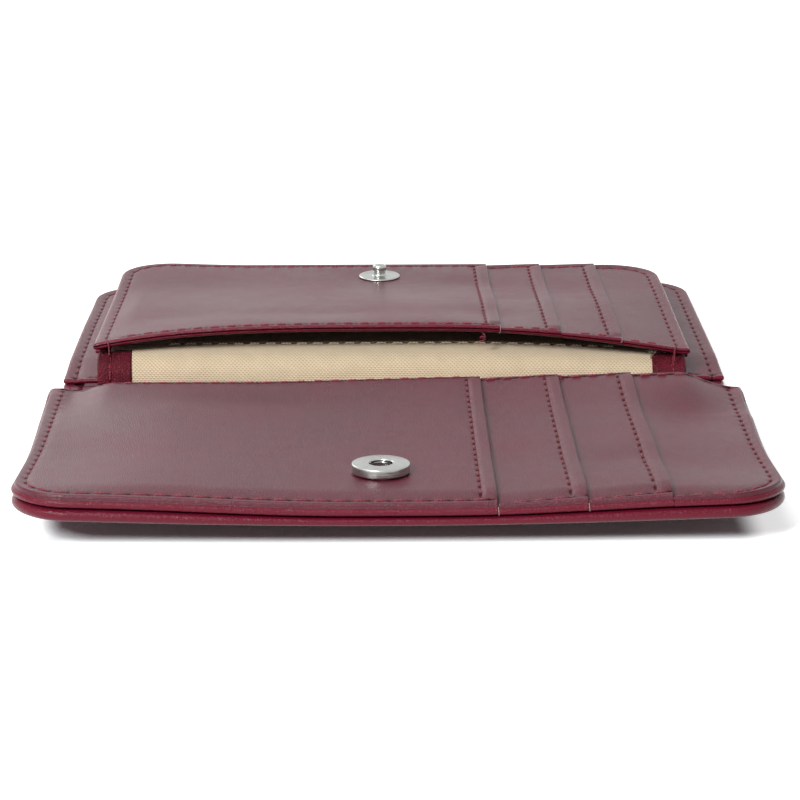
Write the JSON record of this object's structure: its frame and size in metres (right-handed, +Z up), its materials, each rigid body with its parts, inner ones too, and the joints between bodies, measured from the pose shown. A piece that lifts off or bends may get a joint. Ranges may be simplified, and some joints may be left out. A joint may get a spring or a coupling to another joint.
{
  "type": "snap card case",
  "caption": "Folding leather card case lying open: covers and a cloth-lined pocket page on one fold, stepped card slots, press snap closure.",
  "frame": {"origin": "centre of the open case's footprint, on the table that the back cover rests on", "axes": "+Y across the fold from the front cover to the back cover, +Z up off the table, X along the fold"},
  "size_m": [0.1142, 0.1485, 0.0107],
  "materials": {
    "leather": "smooth semi-gloss burgundy",
    "facing_leather": "fine-grained burgundy",
    "lining": "plain burgundy lining cloth",
    "twill": "beige cotton twill",
    "nickel": "satin nickel plate",
    "spring_steel": "drawn wire"
  },
  "bodies": {
    "back_cover": {"back_cover_outer": "leather", "back_lining": "lining", "back_inner_panel": "leather"},
    "page": {"page_hinge": "twill", "page_hinge_facing_left": "facing_leather", "page_hinge_facing_right": "facing_leather", "page_back_panel": "leather", "page_lining": "twill", "page_card_lining": "lining", "page_card_face": "leather", "page_card_strip_middle": "leather", "page_card_strip_outer": "leather", "page_card_end": "leather", "snap_stud": "nickel", "stud_rivet": "nickel"},
    "spine": {"spine_strip": "leather", "spine_lining": "lining"},
    "front_cover": {"front_cover_outer": "leather", "front_lining": "lining", "front_card_lining": "lining", "front_card_face": "leather", "front_card_strip_middle": "leather", "front_card_strip_outer": "leather", "front_card_end": "leather", "snap_socket": "nickel", "snap_spring": "spring_steel", "socket_rivet": "nickel"}
  },
  "joints": [
    {"name": "page_turn", "type": "hinge", "parent": "back_cover", "child": "page", "pos_m": [0, 0.0065, 0], "axis": [1, 0, 0], "range_deg": [0, 150]},
    {"name": "spine_fold", "type": "hinge", "parent": "page", "child": "spine", "pos_m": [0, 0.0065, 0.0012], "axis": [-1, 0, 0], "range_deg": [0, 89.1]},
    {"name": "front_cover_fold", "type": "hinge", "parent": "spine", "child": "front_cover", "pos_m": [0, -0.0065, 0.0022], "axis": [-1, 0, 0], "range_deg": [0, 89.1]}
  ],
  "couplings": [
    {"joint": "front_cover_fold", "follows": "spine_fold", "ratio": 1}
  ]
}
